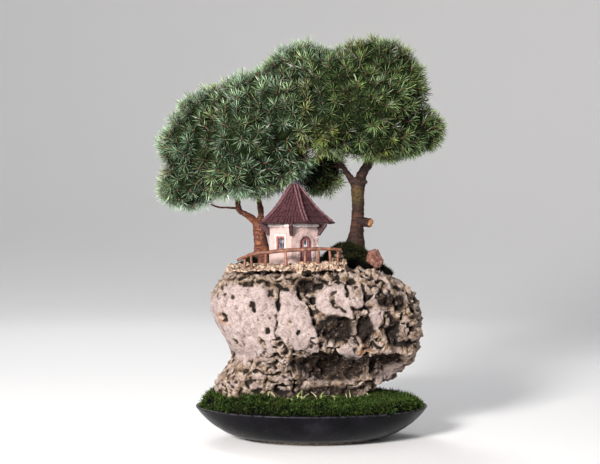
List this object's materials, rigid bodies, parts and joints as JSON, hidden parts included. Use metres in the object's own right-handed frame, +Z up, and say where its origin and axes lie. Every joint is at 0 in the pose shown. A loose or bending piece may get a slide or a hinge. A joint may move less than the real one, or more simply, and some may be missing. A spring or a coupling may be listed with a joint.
{
  "type": "spruce bonsai",
  "caption": "Rock-planted spruce bonsai with a miniature cottage and a twig fence on the rock, standing in moss in a shallow oval glazed tray.",
  "frame": {"origin": "on the surface that the tray stands on, under the middle of the whole object's box", "axes": "+Z up, +X to the right along the tray's long axis, +Y away from the side with the cottage's door, which is the front"},
  "size_m": [0.3222, 0.1864, 0.4444],
  "materials": {
    "black_glaze": "gloss",
    "earth": "matte",
    "moss": "matte",
    "limestone": "matte",
    "ledge_stone": "matte",
    "red_stone": "matte",
    "plaster": "matte",
    "roof_shingles": "matte",
    "cap_metal": "matte",
    "dark_timber": "matte",
    "door_wood": "matte",
    "pane": "gloss",
    "step_stone": "matte",
    "twig": "matte",
    "bark": "matte",
    "blue_needles": "matte",
    "green_needles": "matte"
  },
  "bodies": {
    "root": {"tray": "black_glaze", "tray_soil": "earth", "tray_moss": "moss", "rock": "limestone", "rock_ledge": "ledge_stone", "red_stone": "red_stone", "soil_mound_left": "moss", "soil_mound_right": "moss", "house_walls": "plaster", "house_roof": "roof_shingles", "house_roof_cap": "cap_metal", "house_door": "door_wood", "house_window_pane": "pane", "house_door_step": "step_stone", "fence_rail": "twig", "spruce_left_wood": "bark", "spruce_right_wood": "bark", "pebble_1": "ledge_stone", "pebble_2": "ledge_stone", "pebble_3": "ledge_stone", "pebble_4": "ledge_stone", "house_eave_bracket_1": "dark_timber", "house_eave_bracket_2": "dark_timber", "house_eave_bracket_3": "dark_timber", "house_eave_bracket_4": "dark_timber", "house_eave_bracket_5": "dark_timber", "fence_post_1": "twig", "fence_post_2": "twig", "fence_post_3": "twig", "fence_post_4": "twig", "fence_post_5": "twig", "fence_post_6": "twig", "fence_post_7": "twig", "fence_post_8": "twig", "spruce_left_pad_1": "blue_needles", "spruce_left_pad_2": "blue_needles", "spruce_left_pad_3": "blue_needles", "spruce_left_pad_4": "blue_needles", "spruce_left_pad_5": "blue_needles", "spruce_left_pad_6": "blue_needles", "spruce_left_pad_7": "blue_needles", "spruce_left_pad_8": "blue_needles", "spruce_left_pad_9": "blue_needles", "spruce_left_pad_10": "blue_needles", "spruce_left_pad_11": "blue_needles", "spruce_left_pad_12": "blue_needles", "spruce_left_pad_13": "blue_needles", "spruce_right_pad_1": "green_needles", "spruce_right_pad_2": "green_needles", "spruce_right_pad_3": "green_needles", "spruce_right_pad_4": "green_needles", "spruce_right_pad_5": "green_needles", "spruce_right_pad_6": "green_needles", "spruce_right_pad_7": "green_needles", "spruce_right_pad_8": "green_needles", "spruce_right_pad_9": "green_needles", "spruce_right_pad_10": "green_needles", "spruce_right_pad_11": "green_needles"}
  },
  "joints": []
}
